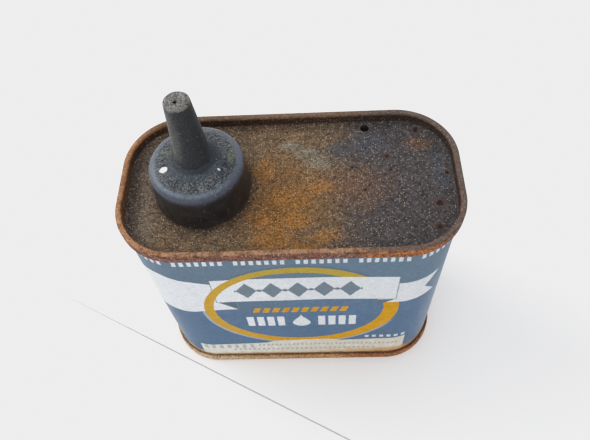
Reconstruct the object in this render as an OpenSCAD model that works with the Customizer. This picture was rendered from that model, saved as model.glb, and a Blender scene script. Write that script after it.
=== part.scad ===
// Handy oiler can: an oblong tinplate can with double-seamed ends, a soldered
// side seam and a black plastic pouring spout that screws on a tinplate neck.
// Millimetres. +Z is up, the origin is the centre of the base, the label's
// front faces -Y and the spout stands towards -X.

/* [Can] */
// Width over the seams, along X
can_w = 73; // [60:0.5:90]
// Depth over the seams, along Y
can_d = 36.8; // [36:0.1:45]
// Height over the seams
can_h = 62; // [45:0.5:90]
// Radius of the upright corners, over the seams
corner_r = 13.2; // [10:0.1:13.2]
// Thickness of the tinplate
plate_t = 0.24; // [0.2:0.01:0.26]

/* [Double seams] */
// Height of a double seam
seam_h = 2.7; // [2.5:0.05:3.2]
// Gap between two folded layers
fold_gap = 0.03; // [0.02:0.005:0.04]
// Depth of the end panel below the seam's crest
recess = 3; // [2.6:0.1:4]

/* [Side seam] */
// Width of the soldered lap
lap_w = 3.6; // [3:0.1:4]
// Thickness of the solder between the two edges
solder_t = 0.1; // [0.08:0.01:0.15]

/* [Neck] */
// Distance of the spout's axis from the can's centre
spout_offset = 18.7; // [16:0.1:20]
// Outer radius of the neck
neck_r = 7.6; // [7.4:0.05:7.7]
// Height of the neck above the panel
neck_h = 7.2; // [7.1:0.05:7.25]
// Thickness of the neck's tinplate
neck_t = 0.3; // [0.25:0.01:0.32]

/* [Thread] */
// Rise of the thread in one turn
pitch = 2.5; // [2.4:0.05:2.7]
// Length of each thread, in degrees
thread_arc = 450; // [360:30:450]
// How far a thread stands out of its wall
thread_d = 0.8; // [0.7:0.05:0.85]

/* [Spout] */
// Outer radius of the spout's base, at the bottom
base_r = 10.4; // [10.3:0.05:10.6]
// Radius of the base's brow, where its tapered side meets its sloping top
brow_r = 9.8; // [9.6:0.05:10]
// Height of the brow above the panel
brow_h = 9.4; // [9.3:0.05:9.8]
// Inner radius of the base
base_bore_r = 8.75; // [8.7:0.01:8.8]
// Radius of the nozzle at its foot
nozzle_foot_r = 3.75; // [3.6:0.05:4.2]
// Height of the nozzle's foot above the panel
nozzle_foot_h = 11.6; // [11.2:0.05:12]
// Radius of the nozzle at its tip
nozzle_tip_r = 2.5; // [2.3:0.05:2.8]
// Height of the tip above the panel
tip_h = 27.4; // [22:0.05:34]
// Radius of the hole in the tip
orifice_r = 0.4; // [0.35:0.05:0.6]
// Number of raised marks round the base's top
mark_count = 30; // [12:1:36]

/* [Vent] */
// Radius of the vent hole in the top panel
vent_r = 1; // [0.8:0.05:1.05]

/* [Hidden] */

$fn = 72;
bend_steps = 4;          // flats in each folded corner
fuse = 0.1;              // how far a joined shape reaches into its neighbour
half_w = can_w / 2 - corner_r;   // corner centres
half_d = can_d / 2 - corner_r;
panel_z = can_h - recess;        // top face of the top panel
core_r = 2;                      // the panel's middle reaches this far past them
spout_x = -spout_offset;

// Double seam: the layers are numbered from the outside in
layer_pitch = plate_t + fold_gap;
SEAMING_WALL = 0;
BODY_HOOK = 1;
COVER_HOOK = 2;
BODY_WALL = 3;
CHUCK_WALL = 4;
panel_bend = 0.5;        // bend radii, to the middle of the plate
crest_bend = 0.32;
hook_bend = 0.26;
body_bend = 0.2;
body_crest = 0.55;       // from the crest down to the body's own fold
body_hook_gap = 0.4;     // from the seam's lower edge to the body hook's edge
cover_hook_top = 0.95;   // from the crest to the cover hook's edge
compound_out = 0.36;     // sealing compound under the crest
compound_in = 0.95;
compound_top = 0.28;
compound_low = 0.41;

// Side seam, in the straight part of the +X end
lap_y = 1.2;             // lower edge of the inner lap
lap_end = lap_y + lap_w;
lap_margin = 4.5;        // the lap stops short of each double seam
slit_w = 0.15;
joggle_w = 0.5;
wall_out = layer(BODY_WALL) + plate_t / 2;
wall_in = layer(BODY_WALL) - plate_t / 2;
lap_out = wall_in - solder_t;
lap_in = lap_out - plate_t;

// Neck
hole_clearance = 0.3;    // between the neck and the hole in the panel
flange_r = 10;
flange_gap = 0.03;       // under the panel
neck_foot_bend = 0.5;
lip_w = 0.7;             // the lip rolls inwards and down
lip_bend = 0.34;
lip_drop = 0.85;
fillet_w = 0.7;          // solder fillet round the neck
fillet_h = 0.6;

// Thread: both ridges lie on one right-hand helix, half a turn apart
thread_step = 10;        // degrees
thread_z = panel_z + 2;  // start of the neck's ridge
thread_foot = 0.55;      // half height at the wall
thread_crest = 0.25;     // half height at the crest
thread_fade = 30;        // degrees over which the ends run out

// Washer and spout
washer_t = 0.9;
washer_gap = 0.05;
washer_in_r = 6;
washer_out_r = 8.4;
skirt_gap = 0.5;         // between the skirt and the panel
brow_bend = 1.6;
ceiling = neck_h + washer_gap + washer_t + washer_gap;
foot_bend = 0.5;
tip_bend = 0.3;
spout_steps = 8;         // flats in each of the spout's round edges
duct_foot_r = 2.6;
duct_tip_r = 1.3;
tip_wall = 1.6;
orifice_x = -0.25;       // the hole was cut off centre
orifice_y = -0.2;
mark_r = 6.85;           // middle of the ring of marks
mark_l = 1.5;
mark_angle = 3;
mark_h = 0.12;
mark_gap_count = 6;      // every sixth place is left plain
vent_x = 17;
vent_y = 15.5;

// ---- geometry ----

// Middle of a seam layer, measured outwards from the seam's outer face
function layer(k) = -plate_t / 2 - k * layer_pitch;

function unit(v) = v / norm(v);
function left_of(v) = [-v[1], v[0]];
function spun(v, a) = [v[0] * cos(a) - v[1] * sin(a), v[0] * sin(a) + v[1] * cos(a)];
function flat_point(p) = [p[0], p[1]];
function turned(u, v) = atan2(u[0] * v[1] - u[1] * v[0], u * v);

// One side of a bend at q, on the way from p to r
function bend(p, q, r, radius, side, steps) =
    let (u = unit(q - p), v = unit(r - q), a = turned(u, v), s = sign(a))
    let (centre = q - u * radius * tan(abs(a) / 2) + left_of(u) * s * radius)
    [for (k = [0 : steps])
        centre - spun(left_of(u), a * k / steps) * s * (radius - s * side)];

// A path of [x, y, bend radius] with its bends rounded, moved to one side
function edge(path, side, steps = bend_steps) =
    let (p = [for (q = path) flat_point(q)], last = len(path) - 1)
    concat(
        [p[0] + left_of(unit(p[1] - p[0])) * side],
        [for (i = [1 : last - 1])
            each bend(p[i - 1], p[i], p[i + 1], path[i][2], side, steps)],
        [p[last] + left_of(unit(p[last] - p[last - 1])) * side]);

function reversed(list) = [for (i = [len(list) - 1 : -1 : 0]) list[i]];

// Outline of a bent plate's section
function strip(path, t) = concat(edge(path, t / 2), reversed(edge(path, -t / 2)));

// Section of an end, from its panel out to the cover hook, with the crest at 0
function end_path() = [
    [core_r - corner_r, -recess - plate_t / 2, 0],
    [layer(CHUCK_WALL), -recess - plate_t / 2, panel_bend],
    [layer(CHUCK_WALL), -plate_t / 2, crest_bend],
    [layer(SEAMING_WALL), -plate_t / 2, crest_bend],
    [layer(SEAMING_WALL), -seam_h + plate_t / 2, hook_bend],
    [layer(COVER_HOOK), -seam_h + plate_t / 2, hook_bend],
    [layer(COVER_HOOK), -cover_hook_top, 0]];

// Section of the wall, from the bottom body hook up to the top one
function wall_path() = [
    [layer(BODY_HOOK), seam_h - body_hook_gap, 0],
    [layer(BODY_HOOK), body_crest, body_bend],
    [layer(BODY_WALL), body_crest, body_bend],
    [layer(BODY_WALL), can_h - body_crest, body_bend],
    [layer(BODY_HOOK), can_h - body_crest, body_bend],
    [layer(BODY_HOOK), can_h - seam_h + body_hook_gap, 0]];

// Sweeps a section round the can's outline: x is measured outwards from the
// seam's outer face, y is the height
module swept(section) {
    for (side = [0, 1]) {
        rotate(180 * side) {
            translate([-half_w, half_d, 0])
                rotate([90, 0, 90])
                    linear_extrude(2 * half_w)
                        translate([corner_r, 0])
                            polygon(section);
            translate([half_w, half_d, 0])
                rotate([90, 0, 0])
                    linear_extrude(2 * half_d)
                        translate([corner_r, 0])
                            polygon(section);
            translate([half_w, half_d, 0]) corner(section);
            translate([-half_w, half_d, 0]) rotate(90) corner(section);
        }
    }
}

module corner(section) {
    rotate_extrude(angle = 90)
        translate([corner_r, 0])
            polygon(section);
}

// A pressed end: the folded edge, and the flat panel inside it
module can_end() {
    swept(strip(end_path(), plate_t));
    translate([0, 0, -recess - plate_t / 2]) {
        cube([2 * half_w, 2 * (half_d + core_r), plate_t], center = true);
        cube([2 * (half_w + core_r), 2 * half_d, plate_t], center = true);
        for (x = [-half_w, half_w])
            for (y = [-half_d, half_d])
                translate([x, y, 0])
                    cylinder(h = plate_t, r = core_r + fuse, center = true);
    }
}

module compound_ring() {
    swept([[-compound_in, -compound_low], [-compound_out, -compound_low],
           [-compound_out, -compound_top], [-compound_in, -compound_top]]);
}

module at_spout() {
    translate([spout_x, 0, 0]) children();
}

// A box on the +X end, between two distances from the seam's outer face
module end_wall_box(inner, outer, y0, y1, z0, z1) {
    translate([can_w / 2 + inner, y0, z0])
        cube([outer - inner, y1 - y0, z1 - z0]);
}

// A ridge on a right-hand helix, from a wall's radius to its crest's radius.
// It starts at the height z, at the angle start.
module thread_ridge(wall_r, crest_r, z, start) {
    steps = thread_arc / thread_step;
    inward = sign(wall_r - crest_r);
    root_r = wall_r + inward * fuse;
    rings = [for (i = [0 : steps])
        let (a = i * thread_step, h = z + pitch * a / 360)
        let (grow = min(1, a / thread_fade, (thread_arc - a) / thread_fade))
        let (top_r = wall_r + (crest_r - wall_r) * grow, d = [cos(a + start), sin(a + start)])
        [[d * root_r, h - thread_foot], [d * top_r, h - thread_crest],
         [d * top_r, h + thread_crest], [d * root_r, h + thread_foot]]];
    points = [for (ring = rings) for (q = ring) [q[0][0], q[0][1], q[1]]];
    end = 4 * steps;
    sides = [for (i = [0 : steps - 1]) for (k = [0 : 3])
        let (a = 4 * i + k, b = 4 * i + (k + 1) % 4)
        each [[a, b, b + 4], [a, b + 4, a + 4]]];
    caps = [[0, 3, 2], [0, 2, 1], [end, end + 1, end + 2], [end, end + 2, end + 3]];
    faces = concat(sides, caps);
    polyhedron(points, inward > 0 ? [for (f = faces) reversed(f)] : faces);
}

// ---- the can ----

// Wall wrapped round the can, hooked top and bottom, with its inner lap
module body_wall() {
    z0 = lap_margin;
    z1 = can_h - lap_margin;
    color([0.42, 0.50, 0.60]) {
        difference() {
            swept(strip(wall_path(), plate_t));
            end_wall_box(wall_in - fuse, wall_out + fuse, lap_end, lap_end + slit_w, z0, z1);
        }
        end_wall_box(lap_in, lap_out, lap_y, lap_end + slit_w + joggle_w, z0, z1);
        end_wall_box(lap_out, wall_in + fuse, lap_end + slit_w, lap_end + slit_w + joggle_w, z0, z1);
    }
}

// Solder drawn into the lap
module side_seam_solder() {
    color([0.62, 0.62, 0.60])
        end_wall_box(lap_out, wall_in, lap_y, lap_end, lap_margin, can_h - lap_margin);
}

// Top end, with the neck's hole and the vent hole
module top_end() {
    color([0.50, 0.38, 0.26])
        difference() {
            translate([0, 0, can_h]) can_end();
            translate([0, 0, panel_z - 1]) {
                at_spout() cylinder(h = 2, r = neck_r + hole_clearance);
                translate([vent_x, vent_y, 0]) cylinder(h = 2, r = vent_r);
            }
        }
}

// Bottom end, the same pressing with no holes
module bottom_end() {
    color([0.50, 0.38, 0.26])
        mirror([0, 0, 1]) can_end();
}

// Sealing compound under the folds
module top_seam_compound() {
    color([0.30, 0.27, 0.22])
        translate([0, 0, can_h]) compound_ring();
}

module bottom_seam_compound() {
    color([0.30, 0.27, 0.22])
        mirror([0, 0, 1]) compound_ring();
}

// ---- the neck ----

// Drawn tinplate neck: flange under the panel, threaded wall and inward lip
module neck() {
    mid_r = neck_r - neck_t / 2;
    flange_z = panel_z - plate_t - flange_gap - neck_t / 2;
    top_z = panel_z + neck_h - neck_t / 2;
    color([0.60, 0.58, 0.54])
        at_spout() {
            rotate_extrude()
                polygon(strip([
                    [flange_r, flange_z, 0],
                    [mid_r, flange_z, neck_foot_bend],
                    [mid_r, top_z, lip_bend],
                    [mid_r - lip_w, top_z, lip_bend],
                    [mid_r - lip_w, top_z - lip_drop, 0]], neck_t));
            thread_ridge(neck_r, neck_r + thread_d, thread_z, 0);
        }
}

// Solder fillet that holds the neck and closes its hole
module neck_solder() {
    z = panel_z + 0.02;
    r = neck_r + 0.02;
    color([0.62, 0.62, 0.60])
        at_spout()
            rotate_extrude()
                polygon([[r, z], [r + fillet_w, z], [r + fillet_w, z + 0.1], [r, z + fillet_h]]);
}

// ---- the spout ----

// Sealing washer between the neck's lip and the spout
module sealing_washer() {
    color([0.16, 0.13, 0.11])
        at_spout()
            translate([0, 0, panel_z + neck_h + washer_gap])
                difference() {
                    cylinder(h = washer_t, r = washer_out_r);
                    translate([0, 0, -1]) cylinder(h = washer_t + 2, r = washer_in_r);
                }
}

// Outside of the spout's half section, with heights from the panel
function spout_outline() = edge([
    [base_r, skirt_gap, 0],
    [brow_r, brow_h, brow_bend],
    [nozzle_foot_r, nozzle_foot_h, foot_bend],
    [nozzle_tip_r, tip_h, tip_bend],
    [0, tip_h, 0]], 0, spout_steps);

// The whole half section, with the bore and the duct
function spout_section() = concat(
    [[base_bore_r, skirt_gap]],
    spout_outline(),
    [[0, tip_h - tip_wall], [duct_tip_r, tip_h - tip_wall],
     [duct_foot_r, ceiling], [base_bore_r, ceiling]]);

// Height of the base's sloping top at a radius
function slope_h(r) =
    brow_h + (nozzle_foot_h - brow_h) * (brow_r - r) / (brow_r - nozzle_foot_r);

// One-piece plastic spout: threaded base, tapered nozzle and a ring of marks
module spout() {
    color([0.20, 0.21, 0.23])
        at_spout()
            translate([0, 0, panel_z])
                difference() {
                    union() {
                        rotate_extrude() polygon(spout_section());
                        translate([0, 0, thread_z - panel_z])
                            thread_ridge(base_bore_r, base_bore_r - thread_d, 0, 180);
                        marks();
                    }
                    translate([orifice_x, orifice_y, tip_h - tip_wall - 1])
                        cylinder(h = tip_wall + 2, r = orifice_r);
                }
}

// Plain raised dashes round the base's sloping top
module marks() {
    r0 = mark_r - mark_l / 2;
    r1 = mark_r + mark_l / 2;
    dash = [[r0, slope_h(r0) - fuse], [r1, slope_h(r1) - fuse],
            [r1, slope_h(r1) + mark_h], [r0, slope_h(r0) + mark_h]];
    for (k = [0 : mark_count - 1])
        if (k % mark_gap_count != 0)
            rotate(360 * k / mark_count - mark_angle / 2)
                rotate_extrude(angle = mark_angle)
                    polygon(dash);
}

body_wall();
side_seam_solder();
top_end();
bottom_end();
top_seam_compound();
bottom_seam_compound();
neck();
neck_solder();
sealing_washer();
spout();
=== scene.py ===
"""Handy oiler can: the finished look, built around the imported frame. Lengths are in millimetres
until a mesh is made, and every mesh sits in the frame's own axes."""
import math

import bmesh
import bpy
from mathutils import Matrix, Vector, noise


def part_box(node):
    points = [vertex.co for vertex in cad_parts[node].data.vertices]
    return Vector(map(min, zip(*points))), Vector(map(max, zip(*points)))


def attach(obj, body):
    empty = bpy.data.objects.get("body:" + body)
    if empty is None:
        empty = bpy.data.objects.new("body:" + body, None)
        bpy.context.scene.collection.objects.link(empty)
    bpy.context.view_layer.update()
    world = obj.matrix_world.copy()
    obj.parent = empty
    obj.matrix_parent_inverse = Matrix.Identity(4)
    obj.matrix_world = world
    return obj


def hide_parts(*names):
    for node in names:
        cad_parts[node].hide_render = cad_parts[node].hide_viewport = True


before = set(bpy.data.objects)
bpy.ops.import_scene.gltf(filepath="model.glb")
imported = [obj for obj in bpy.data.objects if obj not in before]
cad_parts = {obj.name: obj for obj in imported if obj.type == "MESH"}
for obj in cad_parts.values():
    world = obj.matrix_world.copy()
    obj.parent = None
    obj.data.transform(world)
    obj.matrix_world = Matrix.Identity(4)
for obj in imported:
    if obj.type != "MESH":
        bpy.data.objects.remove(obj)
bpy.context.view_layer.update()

MM = 0.001
TAU = 2 * math.pi

# ---- sizes, from the frame ----


def span(node):
    """A CAD node's lowest and highest corner, in millimetres."""
    low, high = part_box(node)
    return low / MM, high / MM


END_LOW, END_HIGH = span("top_end")
SPOUT_LOW, SPOUT_HIGH = span("spout")
SOLDER_LOW, SOLDER_HIGH = span("side_seam_solder")
NECK_LOW, NECK_HIGH = span("neck")
WASHER_LOW, WASHER_HIGH = span("sealing_washer")
FILLET_LOW, FILLET_HIGH = span("neck_solder")

CAN_W = END_HIGH.x - END_LOW.x
CAN_D = END_HIGH.y - END_LOW.y
CAN_H = END_HIGH.z
CORNER_R = 13.2
HALF_W = CAN_W / 2 - CORNER_R
HALF_D = CAN_D / 2 - CORNER_R
RECESS = 3.0
PANEL_Z = CAN_H - RECESS
PLATE = 0.24
SEAM_H = 2.7
LAYER_PITCH = 0.27
PITCH = 2.5
NECK_R = 7.6
THREAD_D = 0.8
THREAD_TURNS = 1.25

SPOUT_X = (SPOUT_LOW.x + SPOUT_HIGH.x) / 2
BASE_R = (SPOUT_HIGH.x - SPOUT_LOW.x) / 2
TIP_H = SPOUT_HIGH.z - PANEL_Z
HOLE_R = NECK_R + 0.3  # the neck passes through it
VENT = (17.0, 15.5, 1.0)  # x, y, radius
# rust pits in the top panel as (x, y, radius)
RUST_PITS = (
    (21.5, 7.4, 0.55),
    (22.1, 3.7, 0.42),
    (31.4, -5.4, 0.75),
    (30.7, -11.1, 0.6),
    (28.4, 14.6, 0.6),
    (16.1, -1.4, 0.25),
    (9.4, -4.5, 0.3),
    (13.6, 4.6, 0.3),
    (34.0, 2.4, 0.4),
)
# stains on the top panel as (x, y, half width, half depth)
UMBER_PATCHES = ((13.5, -0.5, 7.5, 5.5), (28.5, 10.5, 2.5, 2.0))
SLATE_PATCHES = (
    (17.5, 11.0, 4.5, 3.2),
    (11.0, 9.5, 3.5, 1.6),
    (32.5, 3.0, 2.0, 6.0),
    (4.0, -11.2, 3.0, 1.0),
)
PALE_PATCHES = ((0.0, 10.8, 2.4, 1.3), (6.0, 6.2, 2.6, 1.9), (3.3, 8.9, 3.0, 1.5))
ORANGE_PATCHES = (
    (-5.6, 4.4, 2.4, 3.0),
    (-0.8, -3.8, 4.2, 3.2),
    (-4.8, -8.6, 4.0, 3.0),
    (0.6, -8.8, 3.4, 2.4),
    (-3.8, -13.4, 4.2, 3.0),
    (2.4, -15.6, 3.4, 1.6),
    (5.8, -0.6, 3.6, 1.8),
    (7.6, -12.6, 3.2, 1.8),
)


def layer(k):
    """Middle of a seam layer, counted from the outside in, measured from the seam's outer face."""
    return -PLATE / 2 - k * LAYER_PITCH


SEAMING_WALL, BODY_HOOK, COVER_HOOK, BODY_WALL, CHUCK_WALL = (layer(k) for k in range(5))
WALL_R = CORNER_R + BODY_WALL + PLATE / 2

# ---- plane geometry ----


def lerp(a, b, t):
    return a + (b - a) * t


def ease(x, low, high):
    """0 below low, 1 above high, smooth between."""
    t = min(max((x - low) / (high - low), 0.0), 1.0)
    return t * t * (3 - 2 * t)


def turned(v, a):
    return Vector((v.x * math.cos(a) - v.y * math.sin(a), v.x * math.sin(a) + v.y * math.cos(a)))


def left_of(v):
    return Vector((-v.y, v.x))


def plate_edge(path, side, steps=6):
    """One edge of a plate that follows a path of (x, y, bend radius)."""
    points = [Vector(p[:2]) for p in path]
    out = [points[0] + left_of((points[1] - points[0]).normalized()) * side]
    for before, here, after, p in zip(points, points[1:], points[2:], path[1:]):
        u = (here - before).normalized()
        v = (after - here).normalized()
        angle = math.atan2(u.x * v.y - u.y * v.x, u.dot(v))
        sign = math.copysign(1, angle)
        centre = here - u * p[2] * math.tan(abs(angle) / 2) + left_of(u) * sign * p[2]
        for k in range(steps + 1):
            out.append(centre - turned(left_of(u), angle * k / steps) * sign * (p[2] - sign * side))
    return out + [points[-1] + left_of((points[-1] - points[-2]).normalized()) * side]


def refined(points, gap):
    """The same line with points added wherever two stand further apart than gap."""
    out = [points[0]]
    for a, b in zip(points, points[1:]):
        count = max(1, math.ceil((b - a).length / gap))
        out += [a.lerp(b, (k + 1) / count) for k in range(count)]
    return out


def arc(x, y, r, start, end, steps):
    return [
        Vector((x + r * math.cos(a), y + r * math.sin(a)))
        for a in (math.radians(lerp(start, end, k / steps)) for k in range(steps + 1))
    ]


# ---- the can's outline ----


def outline(extra=()):
    """Stations round the can as (foot, outward direction, distance round the wall). The distance
    is 0 in the middle of the front and grows towards +X. A ring stands CORNER_R + n from the feet."""
    gap = 0.45
    quarter = WALL_R * math.pi / 2
    legs = []
    start = -HALF_W
    for k, half in enumerate((HALF_W, HALF_D, HALF_W, HALF_D)):
        legs.append(("side", k, half, start))
        start += 2 * half
        legs.append(("corner", k, quarter, start))
        start += quarter
    feet = (
        Vector((-HALF_W, -HALF_D)),
        Vector((HALF_W, -HALF_D)),
        Vector((HALF_W, HALF_D)),
        Vector((-HALF_W, HALF_D)),
    )
    stations = []
    for kind, k, size, s in legs:
        out = turned(Vector((0, -1)), k * math.pi / 2)
        along = turned(Vector((1, 0)), k * math.pi / 2)
        length = 2 * size if kind == "side" else size
        count = math.ceil(length / gap)
        steps = [length * i / count for i in range(count)]
        steps = sorted(steps + [e - s for e in extra if s < e < s + length])
        for d in steps:
            if kind == "side":
                stations.append((feet[k] + along * d, out, s + d))
            else:
                stations.append((feet[(k + 1) % 4], turned(out, d / WALL_R), s + d))
    return stations


ROUND = 4 * (HALF_W + HALF_D) + WALL_R * TAU
LAP_S = HALF_W + WALL_R * math.pi / 2 + HALF_D + SOLDER_HIGH.y  # where the lapped seam ends


def ring_point(station, n, z):
    foot, out, _ = station
    return Vector((*(foot + out * (CORNER_R + n)), z))


# ---- meshes ----

SHARP = 38  # degrees, above which an edge is shown sharp
MERGE = 0.0005 * MM


def add(name, data):
    """A new object in the scene."""
    obj = bpy.data.objects.new(name, data)
    bpy.context.scene.collection.objects.link(obj)
    return obj


def finish_mesh(name, vertices, faces, wrap=None, sharp=SHARP):
    """A mesh object in metres, with its normals outward, smooth but for edges sharper than sharp.
    wrap holds a vector per vertex, kept apart in each face so that it may differ across an edge."""
    mesh = bpy.data.meshes.new(name)
    mesh.from_pydata([Vector(v) * MM for v in vertices], [], faces)
    if wrap:
        corners = mesh.attributes.new("wrap", "FLOAT_VECTOR", "CORNER")
        corners.data.foreach_set("vector", [c for face in faces for v in face for c in wrap[v]])
    obj = add(name, mesh)
    tidy(obj, sharp)
    return obj


def tidy(obj, sharp=SHARP):
    """Merges points that coincide, turns the faces outward and marks the sharp edges."""
    work = bmesh.new()
    work.from_mesh(obj.data)
    bmesh.ops.remove_doubles(work, verts=work.verts, dist=MERGE)
    bmesh.ops.dissolve_degenerate(work, edges=work.edges, dist=MERGE)
    bmesh.ops.recalc_face_normals(work, faces=work.faces)
    work.to_mesh(obj.data)
    work.free()
    obj.data.shade_smooth()
    obj.data.set_sharp_from_angle(angle=math.radians(sharp))


def grid_faces(rows, columns, close_rows=False, close_columns=True):
    """Quads between rows of points. Closed columns join a row's last point to its first."""
    faces = []
    for i in range(rows if close_rows else rows - 1):
        for j in range(columns if close_columns else columns - 1):
            a = i * columns + j
            b = i * columns + (j + 1) % columns
            step = ((i + 1) % rows - i) * columns
            faces.append((a, b, b + step, a + step))
    return faces


def shifted(faces, first):
    """The same faces on points that start at first."""
    return [tuple(first + v for v in face) for face in faces]


def revolve(name, profile, count, wobble=None, sharp=SHARP):
    """A solid of revolution about the spout's axis, from a closed profile."""
    vertices = []
    for x, z in profile:
        for k in range(count):
            a = TAU * k / count
            r, h = (x, z) if wobble is None else wobble(x, z, a)
            vertices.append((SPOUT_X + r * math.cos(a), r * math.sin(a), h))
    return finish_mesh(name, vertices, grid_faces(len(profile), count, True), sharp=sharp)


def thread_ridge(name, wall_r, crest_r, start):
    """A ridge on the right-hand helix that both threads share, with ends that run out."""
    root_r = wall_r + math.copysign(0.1, wall_r - crest_r)
    foot, crest, fade, steps = 0.55, 0.25, 30 / 360, 36
    count = round(THREAD_TURNS * steps)
    vertices = []
    for i in range(count + 1):
        t = i / steps
        a = math.radians(start) + TAU * t
        h = PANEL_Z + 2 + PITCH * t
        top = lerp(wall_r, crest_r, min(1, t / fade, (THREAD_TURNS - t) / fade))
        for r, dz in ((root_r, -foot), (top, -crest), (top, crest), (root_r, foot)):
            vertices.append((SPOUT_X + r * math.cos(a), r * math.sin(a), h + dz))
    faces = grid_faces(count + 1, 4)
    faces += [(0, 3, 2, 1), tuple(4 * count + k for k in range(4))]
    return finish_mesh(name, vertices, faces)


def combine(obj, other, operation):
    """Joins other to obj, or cuts it away, and removes other."""
    modifier = obj.modifiers.new(operation, "BOOLEAN")
    modifier.operation = operation
    modifier.solver = "EXACT"
    modifier.object = other
    depsgraph = bpy.context.evaluated_depsgraph_get()
    mesh = bpy.data.meshes.new_from_object(obj.evaluated_get(depsgraph))
    obj.modifiers.clear()
    old = obj.data
    obj.data = mesh
    mesh.name = obj.name
    bpy.data.meshes.remove(old)
    bpy.data.objects.remove(other)
    tidy(obj)


def drill(x, y, r, z0, z1, count=32):
    """A cutter for a round hole."""
    circle = [(math.cos(TAU * k / count), math.sin(TAU * k / count)) for k in range(count)]
    vertices = [(x + r * c, y + r * d, z) for z in (z0, z1) for c, d in circle]
    faces = grid_faces(2, count) + [tuple(range(count)), tuple(range(count, 2 * count))]
    return finish_mesh("drill", vertices, faces)


def uneven(x, y, size, seed):
    """Smooth unevenness from 0 to 1, with bumps about size across."""
    return 0.5 + 0.5 * noise.noise(Vector((x / size, y / size, seed)))


# ---- the can ----


def wall_dent(s, z):
    """How far the wall is pushed in: soft handling dents, none at the seams."""
    clear = ease(z, SEAM_H, SEAM_H + 9) * ease(CAN_H - z, SEAM_H, SEAM_H + 9)
    a = TAU * s / ROUND
    x, y = 30 * math.cos(a), 30 * math.sin(a)
    soft = noise.noise(Vector((x / 13, y / 13, z / 17)))
    return 0.16 * clear * max(0.0, soft + 0.15)


def build_wall():
    """The printed wrap with both body hooks, its slit and the lap inside it."""
    slit_w, lip = 0.15, 0.03
    lips = [LAP_S - lip, LAP_S, LAP_S + slit_w, LAP_S + slit_w + lip]
    stations = outline(extra=lips)
    foot, out, s = stations[0]
    stations.append((foot, out, s + ROUND))
    crest, hook_gap, bend = 0.55, 0.4, 0.2
    path = [
        (BODY_HOOK, SEAM_H - hook_gap, 0),
        (BODY_HOOK, crest, bend),
        (BODY_WALL, crest, bend),
        (BODY_WALL, CAN_H - crest, bend),
        (BODY_HOOK, CAN_H - crest, bend),
        (BODY_HOOK, CAN_H - SEAM_H + hook_gap, 0),
    ]
    outer = refined(plate_edge(path, PLATE / 2), 1.4)
    inner = refined(plate_edge(path, -PLATE / 2), 1.4)
    if inner[len(inner) // 2].x > outer[len(outer) // 2].x:
        outer, inner = inner, outer
    rows = [(p, 1.0) for p in outer] + [(p, 0.0) for p in reversed(inner)]
    vertices, wrap = [], []
    for p, outside in rows:
        for station in stations:
            s = station[2]
            in_slit = LAP_S <= s <= LAP_S + slit_w
            in_slit = in_slit and SOLDER_LOW.z < p.y < SOLDER_HIGH.z
            groove = 0.2 if outside and in_slit else 0.0
            vertices.append(ring_point(station, p.x - wall_dent(s, p.y) - groove, p.y))
            wrap.append((s, outside, p.y))
    faces = grid_faces(len(rows), len(stations), close_rows=True, close_columns=False)
    first = len(vertices)
    x0, x1 = SOLDER_LOW.x - PLATE, SOLDER_LOW.x
    step_w, step_x = 0.5, x1 + 0.15
    y0, y1 = SOLDER_LOW.y, SOLDER_HIGH.y + slit_w + step_w
    lap = [(x0, y0), (x1, y0), (x1, y1 - step_w), (step_x, y1 - step_w), (step_x, y1), (x0, y1)]
    count = len(lap)
    for z in (SOLDER_LOW.z, SOLDER_HIGH.z):
        vertices += [Vector((x, y, z)) for x, y in lap]
        wrap += [(0.0, 0.0, z)] * count
    ends = [tuple(range(count)), tuple(range(count, 2 * count))]
    faces += shifted(ends + grid_faces(2, count), first)
    return finish_mesh("can_wall", vertices, faces, wrap)


def seam_wear(s, seed):
    """Small irregularities of a rim as (push inwards, rise of its lower edge)."""
    a = TAU * s / ROUND
    x, y = 30 * math.cos(a), 30 * math.sin(a)
    push = 0.05 * uneven(x, y, 3.0, seed) + 0.04 * uneven(x, y, 1.1, seed + 5)
    rise = 0.16 * uneven(x, y, 2.2, seed + 9) + 0.1 * uneven(x, y, 0.9, seed + 14)
    return push, rise


def panel_sag(x, y, seed, pits):
    """How far the panel sinks: a shallow bow, soft dents and rust pits."""
    depth = 0.10 * uneven(x, y, 11.0, seed) + 0.05 * uneven(x, y, 3.5, seed + 3)
    for px, py, r in pits:
        d = math.hypot(x - px, y - py) / r
        depth += 0.16 * math.exp(-d * d * 1.6)
    return depth


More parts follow.
